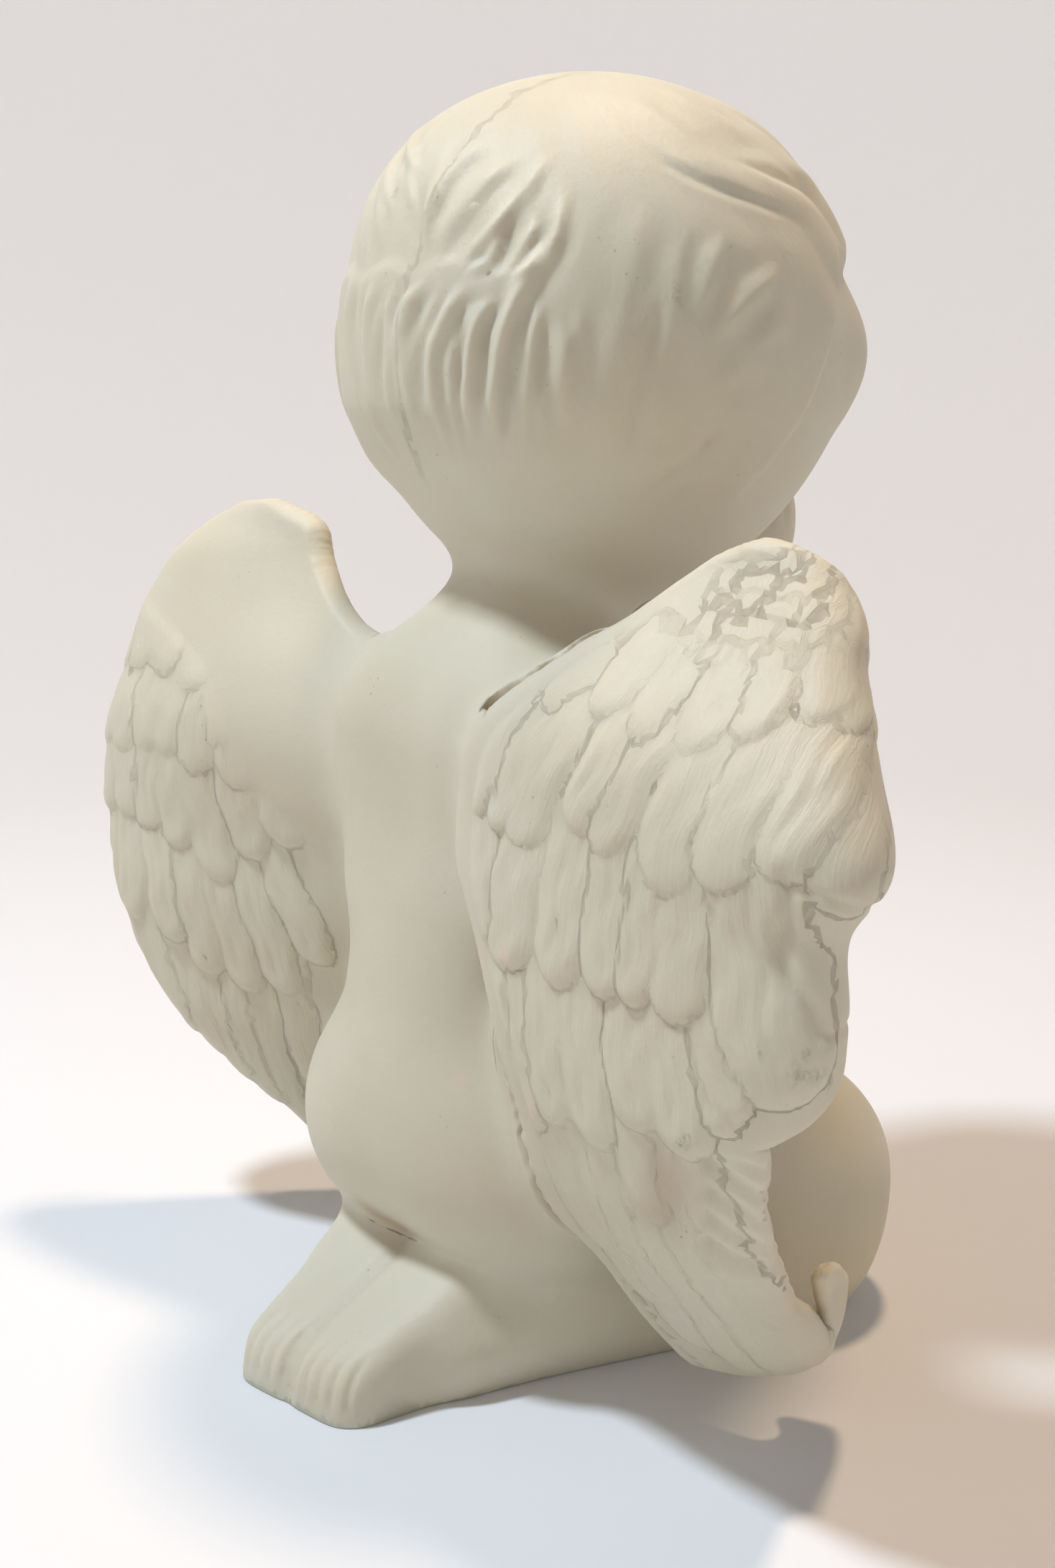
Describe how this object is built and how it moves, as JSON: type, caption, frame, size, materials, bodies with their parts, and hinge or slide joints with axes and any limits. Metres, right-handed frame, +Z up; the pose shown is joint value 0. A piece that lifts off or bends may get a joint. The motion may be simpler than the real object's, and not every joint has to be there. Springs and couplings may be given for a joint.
{
  "type": "kneeling angel figurine",
  "caption": "Small kneeling winged cherub ornament in unglazed white porcelain, soles turned up behind, cupped feathered wings.",
  "frame": {"origin": "middle of the bounding box at floor level", "axes": "+Z up; the figure looks along -Y, its bare feet point along +Y and its left side is +X"},
  "size_m": [0.203, 0.1286, 0.2329],
  "materials": {
    "bisque": "matt unglazed cream-white bisque, faintly soiled"
  },
  "bodies": {
    "root": {"angel_figure": "bisque"}
  },
  "joints": []
}
